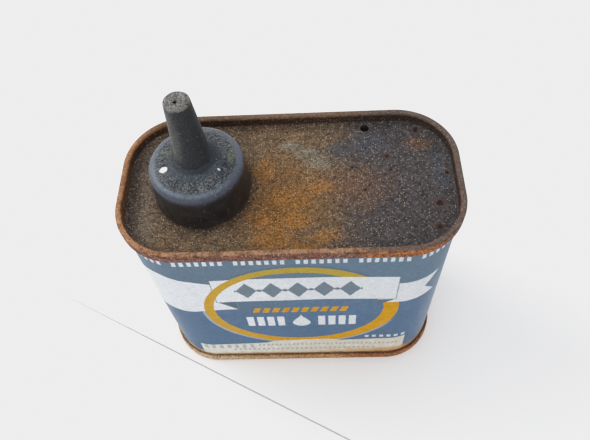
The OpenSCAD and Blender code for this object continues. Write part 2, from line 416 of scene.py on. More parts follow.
def build_end(name, up, seed):
    """A pressed end with its folded rim, for the top (up = 1) or the bottom (up = -1)."""
    stations = outline()
    crest_bend, hook_bend, panel_bend, cover_hook_top = 0.34, 0.26, 0.5, 0.95
    panel_start = 2.0 - CORNER_R
    path = [
        (panel_start, -RECESS - PLATE / 2, 0),
        (CHUCK_WALL, -RECESS - PLATE / 2, panel_bend),
        (CHUCK_WALL, -PLATE / 2, crest_bend),
        (SEAMING_WALL, -PLATE / 2, crest_bend),
        (SEAMING_WALL, -SEAM_H + PLATE / 2, hook_bend),
        (COVER_HOOK, -SEAM_H + PLATE / 2, hook_bend),
        (COVER_HOOK, -cover_hook_top, 0),
    ]
    show = refined(plate_edge(path, PLATE / 2)[1:], 0.5)
    hidden = refined(plate_edge(path, -PLATE / 2)[1:], 0.5)
    rim = show + list(reversed(hidden))
    base = 0.0 if up < 0 else CAN_H
    pits = () if up < 0 else RUST_PITS
    vertices = []

    def add_panel(rows, height, edge_n, outward):
        order = range(rows) if outward else reversed(range(rows))
        for i in order:
            t = i / rows
            for station in stations:
                p = ring_point(station, edge_n, 0)
                core = Vector((max(-1, min(1, p.x / HALF_W)) * (CAN_W - CAN_D) / 2, 0, 0))
                q = core.lerp(p, t)
                flat = ease(1 - t, 0.0, 0.06)
                sag = panel_sag(q.x, q.y, seed, pits) * flat
                vertices.append((q.x, q.y, base + up * (height - sag)))

    add_panel(44, show[0].y, show[0].x, True)
    for p in rim:
        for station in stations:
            push, rise = seam_wear(station[2], seed)
            outer = ease(p.x, COVER_HOOK, BODY_HOOK) * ease(-p.y, 0.2, 0.8)
            low = ease(-p.y, SEAM_H - 0.9, SEAM_H)
            top = ease(-p.y, 0.6, 0.0) * 0.04
            z = p.y + rise * low - top * uneven(station[2], 0, 1.5, seed)
            vertices.append(ring_point(station, p.x - push * outer, base + up * z))
    add_panel(10, hidden[0].y, hidden[0].x, False)
    faces = grid_faces(len(vertices) // len(stations), len(stations))
    return finish_mesh(name, vertices, faces)


def build_neck():
    """Flange, threaded wall and the lip that rolls inwards."""
    neck_t = 0.3
    mid_r = NECK_R - neck_t / 2
    lip_r = mid_r - 0.7
    flange_z = NECK_LOW.z + neck_t / 2
    top_z = NECK_HIGH.z - neck_t / 2
    path = [
        ((NECK_HIGH.x - NECK_LOW.x) / 2, flange_z, 0),
        (mid_r, flange_z, 0.5),
        (mid_r, top_z, 0.34),
        (lip_r, top_z, 0.34),
        (lip_r, top_z - 0.85, 0),
    ]
    profile = plate_edge(path, neck_t / 2) + list(reversed(plate_edge(path, -neck_t / 2)))
    neck = revolve("screw_neck", refined(profile + profile[:1], 0.8)[:-1], 72)
    combine(neck, thread_ridge("neck_thread", NECK_R, NECK_R + THREAD_D, 0), "UNION")
    return neck


def build_fillet():
    """The solder run round the neck, a little lumpy."""
    z = FILLET_LOW.z
    r0 = NECK_R + 0.02
    r1 = (FILLET_HIGH.x - FILLET_LOW.x) / 2
    top = FILLET_HIGH.z
    slope = arc(r1 + 0.05, top + 0.05, 0.68, 264, 186, 5)
    profile = [Vector((r0, z)), Vector((r1, z))] + slope + [Vector((r0, top))]

    def lumpy(x, h, a):
        lump = 0.12 * uneven(8 * math.cos(a), 8 * math.sin(a), 1.6, 40)
        return lerp(x, r0, lump if x > r0 + 0.1 else 0), lerp(h, z, lump)

    return revolve("neck_solder_run", profile, 96, lumpy)


def build_washer():
    """A flat ring with slightly rounded edges."""
    r1 = (WASHER_HIGH.x - WASHER_LOW.x) / 2
    r0, z0, z1, e = 6.0, WASHER_LOW.z, WASHER_HIGH.z, 0.12
    profile = arc(r1 - e, z0 + e, e, 270, 360, 4) + arc(r1 - e, z1 - e, e, 0, 90, 4)
    profile += arc(r0 + e, z1 - e, e, 90, 180, 4) + arc(r0 + e, z0 + e, e, 180, 270, 4)
    return revolve("rubber_washer", profile, 72)


# ---- the spout ----

BROW_R = 9.8
BROW_H = 9.4
NOZZLE_FOOT_R = 3.75
NOZZLE_FOOT_H = 11.6
NOZZLE_TIP_R = 2.5
BORE_R = 8.75
ORIFICE = (-0.25, -0.2, 0.4)
DIMPLE = (0.95, 0.0, 0.4)
MARK_COUNT = 30
MARK_GROUP = 6
MARK_R = 6.85


def slope_h(r):
    """Height of the spout base's sloping top above the panel."""
    return BROW_H + (NOZZLE_FOOT_H - BROW_H) * (BROW_R - r) / (BROW_R - NOZZLE_FOOT_R)


def spout_wear(x, z, a):
    """Wear of the spout's skin at a radius, a height and an angle: always inwards."""
    h = z - PANEL_Z
    cx, cy = x * math.cos(a), x * math.sin(a)
    if h > TIP_H - 1.2:
        fade = ease(h, TIP_H - 1.2, TIP_H)
        rough = uneven(cx, cy, 0.5, 60) * 0.1 + uneven(cx, cy, 1.3, 61) * 0.1
        sink = 0.24 * math.exp(-((math.hypot(cx - DIMPLE[0], cy - DIMPLE[1]) / DIMPLE[2]) ** 2) * 1.5)
        sink += 0.12 * math.exp(-((math.hypot(cx - ORIFICE[0], cy - ORIFICE[1]) / 0.6) ** 2))
        return x * (1 - 0.02 * fade * uneven(cx, cy, 1.0, 62)), z - fade * (rough * 0.6 + sink)
    if x > BORE_R + 0.2:
        return x - 0.05 * uneven(cx, cy + h, 2.4, 63), z
    if x > NOZZLE_FOOT_R + 0.5 and h > BROW_H:
        return x, z - 0.06 * uneven(cx, cy, 1.5, 65)
    if x > 2.7 and h > BROW_H:
        return x - 0.05 * uneven(a * 3, z, 2.0, 64), z
    return x, z


def build_spout():
    """The moulded spout: threaded base, tapered nozzle, ring of plain marks and a cut tip."""
    ceiling, duct_foot_r, duct_tip_r, tip_wall, skirt_gap = 8.2, 2.6, 1.3, 1.6, 0.5
    skin = [
        (BORE_R + 0.15, skirt_gap, 0),
        (BASE_R - 0.002, skirt_gap, 0.18),
        (BROW_R, BROW_H, 1.6),
        (NOZZLE_FOOT_R, NOZZLE_FOOT_H, 0.5),
        (NOZZLE_TIP_R, TIP_H, 0.28),
        (1.75, TIP_H, 0),
    ]
    outer = refined(plate_edge(skin, 0, 12), 0.6)
    outer += [Vector((r, TIP_H)) for r in (1.45, 1.15, 0.85, 0.55, 0.25, 0.0)]
    inner = [
        Vector((0, TIP_H - tip_wall)),
        Vector((duct_tip_r, TIP_H - tip_wall)),
        Vector((duct_foot_r, ceiling)),
        Vector((BORE_R - 0.3, ceiling)),
        Vector((BORE_R, ceiling - 0.3)),
        Vector((BORE_R, skirt_gap + 0.3)),
    ]
    profile = [Vector((p.x, p.y + PANEL_Z)) for p in outer + inner]
    spout = revolve("pouring_spout", profile, 120, spout_wear, sharp=42)
    combine(spout, thread_ridge("spout_thread", BORE_R, BORE_R - THREAD_D, 180), "UNION")
    combine(spout, build_marks(), "UNION")
    x, y, r = ORIFICE
    tip_z = PANEL_Z + TIP_H
    combine(spout, drill(SPOUT_X + x, y, r, tip_z - 3, tip_z + 1, 24), "DIFFERENCE")
    return spout


def build_marks():
    """Plain raised dashes in groups on the sloping top, with softened edges."""
    length, width, height, ease_in = 1.5, 0.4, 0.12, 0.08
    vertices, faces = [], []
    for k in range(MARK_COUNT):
        if k % MARK_GROUP == 0:
            continue
        a = TAU * k / MARK_COUNT
        first = len(vertices)
        for rise, shrink in ((-0.15, 0.0), (height - ease_in, 0.0), (height, ease_in)):
            for u, v in ((-1, -1), (1, -1), (1, 1), (-1, 1)):
                r = MARK_R + u * (length / 2 - shrink)
                side = v * (width / 2 - shrink)
                x = SPOUT_X + r * math.cos(a) - side * math.sin(a)
                y = r * math.sin(a) + side * math.cos(a)
                vertices.append((x, y, PANEL_Z + slope_h(math.hypot(r, side)) + rise))
        faces += shifted(grid_faces(3, 4), first)
        faces += shifted([(3, 2, 1, 0), (8, 9, 10, 11)], first)
    return finish_mesh("marks", vertices, faces)


# ---- materials ----


class Field:
    """A number that varies over the surface, for use in plain formulas."""

    def __init__(self, shade, socket):
        self.shade = shade
        self.socket = socket

    def __add__(self, other):
        return self.shade.math("ADD", self, other)

    def __sub__(self, other):
        return self.shade.math("SUBTRACT", self, other)

    def __mul__(self, other):
        return self.shade.math("MULTIPLY", self, other)

    def __truediv__(self, other):
        return self.shade.math("DIVIDE", self, other)

    def __rsub__(self, other):
        return self.shade.math("SUBTRACT", other, self)

    def __neg__(self):
        return self * -1.0

    def __abs__(self):
        return self.shade.math("ABSOLUTE", self)

    __radd__ = __add__
    __rmul__ = __mul__


class Shade:
    """A material built from formulas. Coordinates are millimetres in the piece's own space."""

    def __init__(self, name):
        self.material = bpy.data.materials.new(name)
        self.material.use_nodes = True
        self.nodes = self.material.node_tree.nodes
        self.links = self.material.node_tree.links
        self.bsdf = self.nodes["Principled BSDF"]
        self.seed = 0.0
        coords = self.nodes.new("ShaderNodeTexCoord")
        scaled = self.nodes.new("ShaderNodeVectorMath")
        scaled.operation = "SCALE"
        scaled.inputs["Scale"].default_value = 1 / MM
        self.links.new(coords.outputs["Object"], scaled.inputs[0])
        self.place = scaled.outputs[0]
        self.x, self.y, self.z = self.split(self.place)

    def split(self, vector):
        node = self.nodes.new("ShaderNodeSeparateXYZ")
        self.links.new(vector, node.inputs[0])
        return [Field(self, node.outputs[k]) for k in range(3)]

    def put(self, value, socket):
        if isinstance(value, Field):
            self.links.new(value.socket, socket)
        elif isinstance(value, bpy.types.NodeSocket):
            self.links.new(value, socket)
        elif isinstance(value, tuple):
            socket.default_value = (*value, 1.0) if len(value) == 3 else value
        else:
            socket.default_value = value

    def math(self, operation, *values):
        node = self.nodes.new("ShaderNodeMath")
        node.operation = operation
        for value, socket in zip(values, node.inputs):
            self.put(value, socket)
        return Field(self, node.outputs[0])

    def fold(self, operation, values):
        out = values[0]
        for value in values[1:]:
            out = self.math(operation, out, value)
        return out

    def least(self, *values):
        return self.fold("MINIMUM", values)

    def most(self, *values):
        return self.fold("MAXIMUM", values)

    def root(self, value):
        return self.math("SQRT", value)

    def length(self, a, b):
        return self.root(a * a + b * b)

    def ease(self, value, low, high):
        """0 at low, 1 at high, smooth between. low may be the larger."""
        node = self.nodes.new("ShaderNodeMapRange")
        node.interpolation_type = "SMOOTHSTEP"
        self.put(value, node.inputs["Value"])
        flip = low > high
        node.inputs["From Min"].default_value = min(low, high)
        node.inputs["From Max"].default_value = max(low, high)
        node.inputs["To Min"].default_value = 1.0 if flip else 0.0
        node.inputs["To Max"].default_value = 0.0 if flip else 1.0
        return Field(self, node.outputs["Result"])

    def inside(self, distance, soft=0.07):
        """1 where a signed distance is negative."""
        return self.ease(distance, soft, -soft)

    def texture(self, kind, step, direction, scale):
        """A texture node, moved to a place of its own at each call."""
        self.seed += step
        move = self.nodes.new("ShaderNodeMapping")
        move.inputs["Location"].default_value = tuple(self.seed * c for c in direction)
        move.inputs["Scale"].default_value = scale
        self.links.new(self.place, move.inputs["Vector"])
        node = self.nodes.new(kind)
        node.inputs["Scale"].default_value = 1.0
        self.links.new(move.outputs[0], node.inputs["Vector"])
        return node

    def cloud(self, size, detail, rough, stretch=(1, 1, 1)):
        """Noise from 0 to 1 with features about size across."""
        scale = tuple(1 / (size * c) for c in stretch)
        node = self.texture("ShaderNodeTexNoise", 17.3, (1, 0.37, -0.61), scale)
        node.inputs["Detail"].default_value = detail
        node.inputs["Roughness"].default_value = rough
        return Field(self, node.outputs["Fac"])

    def grains(self, size):
        """Distance to the nearest of scattered points, in cells of about size, and a value per cell."""
        node = self.texture("ShaderNodeTexVoronoi", 11.9, (1, -0.53, 0.29), (1 / size,) * 3)
        bits = self.nodes.new("ShaderNodeSeparateColor")
        self.links.new(node.outputs["Color"], bits.inputs[0])
        return Field(self, node.outputs["Distance"]), Field(self, bits.outputs[0])

    def sand(self, size):
        """Flecks of about size, each with its own value: from -0.5 to 0.5 and even on average."""
        return (self.grains(size)[1] + self.grains(size * 1.6)[1]) * 0.5 - 0.5

    def specks(self, size, radius, share):
        """Scattered dots: cells of size, dots of radius within them, in that share of the cells."""
        distance, value = self.grains(size)
        reach = radius / size
        return self.ease(distance, reach * 1.25, reach * 0.75) * self.inside(value - share, 0.01)

    def mixer(self, kind, first, a, b, amount):
        """A mix node of a kind whose two values start at the input called first."""
        node = self.nodes.new("ShaderNodeMix")
        node.data_type = kind
        self.put(amount, node.inputs[0])
        self.put(a, node.inputs[first])
        self.put(b, node.inputs[first + 1])
        return node

    def mix(self, a, b, amount):
        """Between two colours."""
        return self.mixer("RGBA", 6, a, b, amount).outputs[2]

    def coats(self, colour, *coats):
        """A colour under coats, each with its own colour and how much of it shows."""
        for tint, amount in coats:
            colour = self.mix(colour, tint, amount)
        return colour

    def times(self, colour, factor):
        """A colour made darker or lighter by a number."""
        node = self.mixer("RGBA", 6, colour, factor, 1.0)
        node.blend_type = "MULTIPLY"
        return node.outputs[2]

    def near(self, places, ragged):
        """1 in the middle of the nearest of some oval places, 0 well outside, with ragged edges."""
        ovals = [self.length((self.x - x) / a, (self.y - y) / b) for x, y, a, b in places]
        return self.ease(self.least(*ovals) + ragged, 1.45, 0.35)

    def blend(self, a, b, amount):
        """Between two numbers."""
        return Field(self, self.mixer("FLOAT", 2, a, b, amount).outputs[0])

    def finish(self, colour, roughness, height, metallic=0.0, specular=0.5):
        """The material, with height as its relief in millimetres."""
        bump = self.nodes.new("ShaderNodeBump")
        bump.inputs["Strength"].default_value = 1.0
        bump.inputs["Distance"].default_value = MM
        self.put(height, bump.inputs["Height"])
        self.put(colour, self.bsdf.inputs["Base Color"])
        self.put(roughness, self.bsdf.inputs["Roughness"])
        self.put(metallic, self.bsdf.inputs["Metallic"])
        self.put(specular, self.bsdf.inputs["Specular IOR Level"])
        self.links.new(bump.outputs[0], self.bsdf.inputs["Normal"])
        return self.material


def rust_colour(shade, warmth):
    """Rust from near black through brown to orange, as warmth goes from 0 to 1."""
    dark = shade.mix((0.030, 0.019, 0.015), (0.095, 0.048, 0.030), shade.ease(warmth, 0.05, 0.4))
    warm = shade.mix(dark, (0.23, 0.115, 0.055), shade.ease(warmth, 0.35, 0.62))
    return shade.mix(warm, (0.42, 0.195, 0.055), shade.ease(warmth, 0.65, 0.95))


def end_material(name, top):
    """Rusted tinplate: gritty and brown on the left, blue-grey to the right, orange between."""
    m = Shade(name)
    up = m.z - CAN_H if top else -m.z
    patch = m.cloud(9, 4, 0.6)
    small = m.cloud(2.4, 4, 0.65)
    mid = m.cloud(1.0, 3, 0.65)
    sand = m.sand(0.24)
    ragged = (small - 0.5) * 2.0 + (mid - 0.5) * 0.9
    mottle = m.ease(small + (mid - 0.5) * 0.7, 0.3, 0.7)
    # the panel
    brown = m.mix((0.072, 0.046, 0.026), (0.130, 0.083, 0.046), mottle)
    brown = m.mix(brown, (0.135, 0.105, 0.078), m.ease(m.x, -26, -31) * 0.6)
    grey = m.mix((0.032, 0.027, 0.029), (0.052, 0.044, 0.044), mottle)
    colour = m.mix(brown, grey, m.ease(m.x + (patch - 0.5) * 16 + (small - 0.5) * 6, 3, 19))
    ochre = m.near(((-1.0, -4.5, 10.0, 13.0),), ragged * 0.5) * m.ease(small + mid, 0.4, 1.3)
    spout_d = m.length(m.x - SPOUT_X, m.y)
    colour = m.coats(
        colour,
        ((0.110, 0.055, 0.028), m.near(UMBER_PATCHES, ragged) * 0.6),
        ((0.044, 0.048, 0.059), m.near(SLATE_PATCHES, ragged) * 0.65),
        ((0.135, 0.130, 0.105), m.near(PALE_PATCHES, ragged) * 0.75),
        ((0.150, 0.068, 0.016), ochre * 0.9),
        ((0.32, 0.120, 0.012), m.near(ORANGE_PATCHES, ragged * 0.95) * 0.34),
        # painted shadow: the panel darker round the foot of the spout
        ((0.022, 0.016, 0.013), m.ease(spout_d, BASE_R + 2.6, BASE_R - 0.6) * 0.6),
        # painted shade: the panel's left strip darker under the left rim
        ((0.040, 0.030, 0.026), m.ease(m.x, -30.0, -34.5) * 0.75),
        ((0.030, 0.022, 0.018), m.ease(m.y, 14.5, 17.2) * 0.3),
    )
    # the rim, and the wall inside it
    edge = m.ease(up, -RECESS + 0.2, -RECESS + 0.7)
    right = m.ease(m.x, 8, 26)
    front = m.ease(m.y, 8, -13)
    streak = m.cloud(1.5, 3, 0.6, (1, 1, 0.5))
    warmth = 0.50 + (small - 0.5) * 0.9 + (streak - 0.5) * 0.5 - right * 0.22 + front * 0.06
    low = m.ease(up + (mid - 0.5) * 0.4, 0.02, -0.3)
    flank = m.mix((0.050, 0.016, 0.013), (0.165, 0.060, 0.045), m.ease(streak + (mid - 0.5), 0.3, 0.7))
    ember = m.ease(m.x, 10, 18) * m.ease(m.x, 33, 27) + m.ease(small, 0.56, 0.66) * 0.6
    foot = m.ease(up, -SEAM_H + 0.9, -SEAM_H + 0.1) * front * m.ease(m.x, 8, 16)
    tan = m.ease(m.y, 10, 17) * m.ease(up, -0.6, -0.1) * m.ease(m.x, 24, 12)
    crest = m.ease(up, -0.22, -0.02)
    bare = (1.0 - right) * m.ease(m.y, 16, 8) * m.ease(mottle, 0.2, 0.8)
    corner_d = m.length(m.most(abs(m.x) - HALF_W, 0.0), m.most(abs(m.y) - HALF_D, 0.0))
    inside = m.inside(corner_d - CORNER_R + 1.2, 0.1)
    # the wall inside the rim: dark rust with painted shade over it, lighter at the left towards the
    # front as painted light
    lit = m.ease(m.x, -30, -34) * m.ease(m.y, 10, 2)
    shade = m.mix((0.017, 0.010, 0.007), (0.120, 0.058, 0.026), lit)
    rim = m.coats(
        rust_colour(m, warmth),
        ((0.290, 0.120, 0.042), m.ease(m.x, -22, -31) * m.ease(small, 0.2, 0.55) * 0.8),
        ((0.085, 0.062, 0.048), right * 0.6),
        (flank, low * front * 0.85),
        ((0.27, 0.085, 0.016), low * front * ember * m.ease(streak, 0.25, 0.6) * 0.8),
        ((0.24, 0.175, 0.095), foot * m.ease(mid, 0.3, 0.6) * 0.6),
        ((0.095, 0.065, 0.042), tan * m.ease(small, 0.2, 0.6) * 0.8),
        ((0.30, 0.175, 0.110), crest * bare * 0.5),
        ((0.080, 0.068, 0.062), crest * right * m.ease(streak, 0.35, 0.6) * 0.7),
        (shade, m.ease(up, -0.25, -0.9) * inside * 0.9),
    )
    if not top:
        worn = m.mix((0.42, 0.275, 0.160), (0.34, 0.170, 0.065), m.ease(m.x, -24, -2))
        worn = m.mix(worn, (0.23, 0.072, 0.012), m.ease(m.x + (small - 0.5) * 12, 4, 20))
        rusty = m.ease(small + (mid - 0.5) * 0.9, 0.5, 0.75)
        rim = m.mix(worn, rust_colour(m, warmth - 0.15), rusty * 0.5)
    colour = m.mix(colour, rim, edge)
    # grit over everything
    depth = m.blend(1.0, m.blend(0.55, 1.15, low * front), edge)
    colour = m.times(colour, 1.0 + sand * depth * 1.7)
    dark = m.specks(0.62, 0.12, 0.3)
    colour = m.mix(colour, (0.014, 0.010, 0.009), dark * m.blend(0.08, 0.05, edge))
    bright = m.specks(0.45, 0.12, 0.42)
    colour = m.mix(colour, (0.42, 0.34, 0.24), bright * depth * m.blend(0.66, 0.5, right))
    if top:
        for px, py, r in RUST_PITS:
            d = m.length(m.x - px, m.y - py) + (mid - 0.5) * 1.3
            colour = m.mix(colour, (0.060, 0.030, 0.020), m.ease(d, r * 2.6, r * 1.1) * 0.7)
            colour = m.mix(colour, (0.007, 0.005, 0.005), m.ease(d, r * 1.35, r * 0.6) * 0.95)
    height = sand * 0.045 + small * 0.12 + mid * 0.06
    rough = m.blend(0.7, 0.92, m.ease(small, 0.3, 0.7))
    return m.finish(colour, rough, height, specular=0.25)


def banner_art(m, s, z):
    """A plain banner as signed distances: its band, its left and right tails, and its folds."""
    middle = 44.2 - (s - 2.0) * (s - 2.0) * 0.0012
    band = m.most(abs(s - 2.5) - 20.5, abs(z - middle) - 5.6)
    left_notch = 5.0 - abs(z - 41.5) * 0.7
    flare = m.ease(s, -13.5, -32.0)
    droop = m.ease(s, -28.0, -42.0) * 5.0
    left_d = abs(z - 40.4 - flare * 1.5 + droop) - 6.4 - flare * 3.0
    left = m.most(left_d, s + 13.5, -44.0 - s + left_notch)
    right_notch = 3.8 - abs(z - 41.2) * 0.7
    right = m.most(abs(z - 41.2) - 4.9, 19.0 - s, s - 33.5 + right_notch)
    left_fold = m.most(-18.0 - s, s + 13.5, 38.2 - (s + 18.0) * 0.98 - z, z - 38.2)
    right_fold = m.most(s - 23.0, 19.0 - s, 37.8 - (23.0 - s) * 0.75 - z, z - 37.8)
    return band, left, right, m.least(left_fold, right_fold)


def droplet(m, s, z, centre_s, centre_z, r):
    """Signed distance of an oil drop that points up."""
    t = (z - centre_z) / r
    below = m.least(t, 0.0)
    above = m.most(t, 0.0) / 2.4
    lower = m.root(m.most(1.0 - below * below, 0.0))
    upper = m.math("POWER", m.most(1.0 - above * above, 0.0), 2.2) * (1.0 - above * 0.35)
    return m.most(abs(s - centre_s) - lower * upper * r, t * r - 2.4 * r, -t * r - r)


def off_row(m, s, period):
    """Distance to the nearest place in an even row that has one at 0."""
    return m.math("PINGPONG", s + period * 200, period / 2)


def bars(m, s, z, middle, height, width, period, low, high):
    """A row of short upright bars between low and high."""
    ends = m.most(low - width / 2 - s, s - high - width / 2)
    return m.most(off_row(m, s - low, period) - width / 2, abs(z - middle) - height / 2, ends)


def front_print(m, s, z, mottle, slate):
    """The printed front: gold oval, plain banner through it, drop, bars and a cream strip."""
    aged_white = m.ease(mottle + m.ease(s, -16, 10) * 0.35, 0.4, 0.8)
    white = m.mix((0.63, 0.66, 0.70), (0.55, 0.575, 0.60), aged_white)
    aged_cream = m.ease(mottle + m.ease(s, -20, 12) * 0.2, 0.4, 0.75)
    cream = m.mix((0.60, 0.60, 0.55), (0.50, 0.455, 0.36), aged_cream)
    gold = m.mix((0.51, 0.235, 0.001), (0.42, 0.195, 0.001), m.ease(mottle, 0.35, 0.7))
    gold = m.mix(gold, (0.32, 0.230, 0.030), m.ease(z, 38, 54))
    gold = m.mix(gold, (0.42, 0.245, 0.025), m.ease(s, 0, -16) * 0.7)
    ink = (0.075, 0.105, 0.135)
    across, up = (s - 0.9) / 23.0, (z - 33.3) / 21.7
    ring_d = (m.length(across, up) - 1.0) * 22.2 + 1.5
    ring_w = 1.42 + across * 0.30 - up * 0.22
    band, left, right, folds = banner_art(m, s, z)
    tails = m.least(left, right)
    beyond = ring_d - ring_w
    halo = m.inside(abs(beyond - 0.5) - 0.4, 0.25) * m.ease(up, -0.1, 0.5)
    pale_line = m.inside(abs(beyond - 0.35) - 0.3, 0.15) * m.ease(across * 0.3 + up, 0.1, -0.4)
    ink_line = m.inside(abs(beyond - 0.9) - 0.2, 0.15) * m.ease(across - up, 0.6, 1.1)
    colour = m.coats(slate, (ink, halo * 0.75), (white, pale_line * 0.4), (ink, ink_line * 0.6))
    ring = m.inside(abs(ring_d) - ring_w)
    colour = m.coats(
        colour,
        (gold, ring),
        (white, m.inside(tails)),
        (ink, m.inside(folds)),
        (ink, m.inside(band - 0.25) * m.inside(tails - 0.2) * 0.8),
        (white, m.inside(band)),
        (gold, ring * m.ease(s, 1.0, 0.0)),
    )
    row_s, row_z, pitch = s - 1.0, z - 43.9, 5.8
    lozenges = off_row(m, row_s, pitch) / 2.4 + abs(row_z) / 3.8 - 1.0
    beads = m.length(off_row(m, row_s + pitch / 2, pitch), row_z) - 0.65
    row = m.most(m.least(lozenges * 1.8, beads), abs(row_s) - 14.3)
    colour = m.mix(colour, (0.115, 0.150, 0.180), m.inside(row))
    # two rows of plain blocks, slanted gold ones over upright white ones round a drop
    slant = s - (z - 33.0) * 0.3
    colour = m.mix(colour, gold, m.inside(bars(m, slant, z, 33.0, 2.6, 1.5, 2.3, -9.35, 11.35)))
    drop = droplet(m, s, z, 1.0, 25.2, 2.2)
    blocks = m.most(bars(m, s, z, 26.2, 5.6, 1.7, 2.5, -11.5, 13.5), 3.6 - abs(s - 1.0))
    colour = m.mix(colour, white, m.inside(m.least(drop, blocks)))
    top_row = m.most(bars(m, s, z, 57.2, 1.7, 0.85, 1.6, -41.6, 41.6), 1.0 - off_row(m, s, 12.8))
    corner_row = bars(m, s, z, 14.6, 1.4, 1.0, 1.9, 17.6, 27.2)
    colour = m.mix(colour, white, m.inside(m.least(top_row, corner_row)) * 0.9)
    strip_top = 11.6 + s * 0.05 + m.ease(abs(s - 0.8), 10.5, 6.5) * 1.3
    strip = m.most(abs(s - 0.3) - 27.6, z - strip_top)
    colour = m.mix(colour, cream, m.inside(strip))
    ticks = m.least(
        bars(m, s, z, 8.9, 2.6, 1.0, 2.1, -25.8, -13.2),
        bars(m, s, z, 9.6, 1.3, 0.62, 1.15, -11.0, 26.5),
        bars(m, s, z, 6.5, 1.3, 0.7, 1.3, -18.0, 20.0),
    )
    return m.mix(colour, (0.27, 0.27, 0.28), m.inside(ticks) * 0.8)


def wall_material():
    """Printed tinplate, worn, scratched and rusty along both seams; plain tin inside."""
    m = Shade("printed_tinplate")
    attribute = m.nodes.new("ShaderNodeAttribute")
    attribute.attribute_name = "wrap"
    s0, outside, z0 = m.split(attribute.outputs["Vector"])
    s0 = s0 - m.math("GREATER_THAN", s0, ROUND / 2) * ROUND
    s = s0 + (m.cloud(0.5, 2, 0.6) - 0.5) * 0.35
    z = z0 + (m.cloud(0.6, 2, 0.6) - 0.5) * 0.35
    patch = m.cloud(12, 3, 0.5)
    mottle = m.cloud(1.6, 4, 0.65)
    grain = m.cloud(0.3, 3, 0.7)
    sand = m.sand(0.3)
    slate = m.mix((0.056, 0.103, 0.176), (0.078, 0.130, 0.208), m.ease(mottle, 0.3, 0.7))
    slate = m.mix(slate, (0.046, 0.085, 0.148), m.ease(patch, 0.45, 0.75) * 0.5)
    slate = m.mix(slate, (0.105, 0.148, 0.178), m.ease(z0 + (patch - 0.5) * 20, 26, 48) * 0.6)
    front = m.inside(abs(s0) - 50)
    colour = m.mix(slate, front_print(m, s, z, mottle, slate), front)
    # the plain panel on the back
    cream = m.mix((0.66, 0.62, 0.52), (0.56, 0.49, 0.37), m.ease(mottle, 0.4, 0.75))
    back_s = ROUND / 2 - abs(s)
    back = m.math("SIGN", s) * back_s
    card = m.most(back_s - 24, abs(z - 31) - 19.5)
    colour = m.mix(colour, cream, m.inside(card))
    border = abs(m.most(back_s - 22.2, abs(z - 31) - 17.7)) - 0.28
    back_drop = droplet(m, back, z, 0.0, 36.5, 4.2)
    back_rules = m.most(off_row(m, z, 2.4) - 0.2, abs(z - 22.5) - 6.0, back_s - 17)
    colour = m.mix(colour, slate, m.inside(m.least(border, back_drop, back_rules)))
    # bare margin along the soldered seam
    tin = m.mix((0.36, 0.34, 0.31), (0.24, 0.20, 0.16), m.ease(mottle, 0.4, 0.75))
    bare = m.inside(abs(s - LAP_S) - 2.3, 0.15)
    colour = m.mix(colour, tin, bare)
    # wear: scuffs, chips and rust that creeps in from both seams; also a painted sheen on the rounded
    # corners
    scuff = m.ease(m.cloud(0.8, 4, 0.75, (1, 1, 1.6)), 0.66, 0.74) * m.ease(patch, 0.4, 0.65)
    colour = m.mix(colour, tin, scuff * 0.5)
    # painted sheen: the rounded corners paled towards grey-blue as a grazing reflection, fading out
    # towards the top
    painted_corner_sheen = m.ease(abs(s0) + (mottle - 0.5) * 7, 28, 42) * m.ease(abs(s0) + (patch - 0.5) * 14, 60, 44)
    colour = m.mix(colour, (0.50, 0.52, 0.56), painted_corner_sheen * m.ease(z0, 54, 30) * 0.42)
    creep = m.cloud(3.2, 4, 0.65)
    right = m.ease(s + (creep - 0.5) * 18, 2, 26) * m.ease(s, 70, 45)
    reach = 3.3 + m.ease(s, 0, 12) * m.ease(s, 34, 26) * 1.6
    low = m.ease(z0 - (creep - 0.5) * 5 - reach, 2.6, -1.4)
    high = m.ease(z0 - (creep - 0.5) * 3, CAN_H - SEAM_H - 1.2, CAN_H - SEAM_H + 0.6)
    stain = m.most(low, high)
    glow = m.mix((0.52, 0.385, 0.240), (0.42, 0.200, 0.060), right)
    colour = m.mix(colour, glow, m.ease(stain, 0.0, 0.75) * 0.8)
    warmth = m.cloud(1.1, 4, 0.7)
    spots = m.specks(7.0, 0.32, 0.5) + m.specks(3.1, 0.14, 0.45)
    skirting = m.ease(z0 - (creep - 0.5) * 1.4 - m.ease(s, 27, 36) * 1.2, SEAM_H + 1.0, SEAM_H + 0.5)
    rust = m.most(m.ease(stain * 0.8 + (warmth - 0.5) * 2.2, 0.9, 1.2), spots, skirting * 0.85)
    brown = m.mix((0.26, 0.140, 0.065), (0.165, 0.062, 0.018), right)
    rusted = rust_colour(m, warmth + (grain - 0.5) * 0.5)
    rusted = m.mix(rusted, brown, skirting * m.ease(warmth, 0.3, 0.6))
    colour = m.mix(colour, rusted, rust)
    colour = m.times(colour, 1.0 + sand * m.blend(0.3, 1.2, rust))
    # plain tin inside
    inner = m.mix((0.42, 0.39, 0.34), (0.22, 0.17, 0.12), m.ease(mottle, 0.45, 0.7))
    print_side = m.ease(outside, 0.4, 0.6)
    colour = m.mix(inner, colour, print_side)
    metallic = m.most(1.0 - print_side, bare) * 0.8 * (1.0 - rust)
    rough = m.blend(0.38, 0.52, m.ease(mottle, 0.3, 0.7)) + rust * 0.35
    height = rust * grain * 0.16 + rust * 0.03 + grain * 0.012 - scuff * 0.02
    return m.finish(colour, rough, height, metallic, specular=0.04)


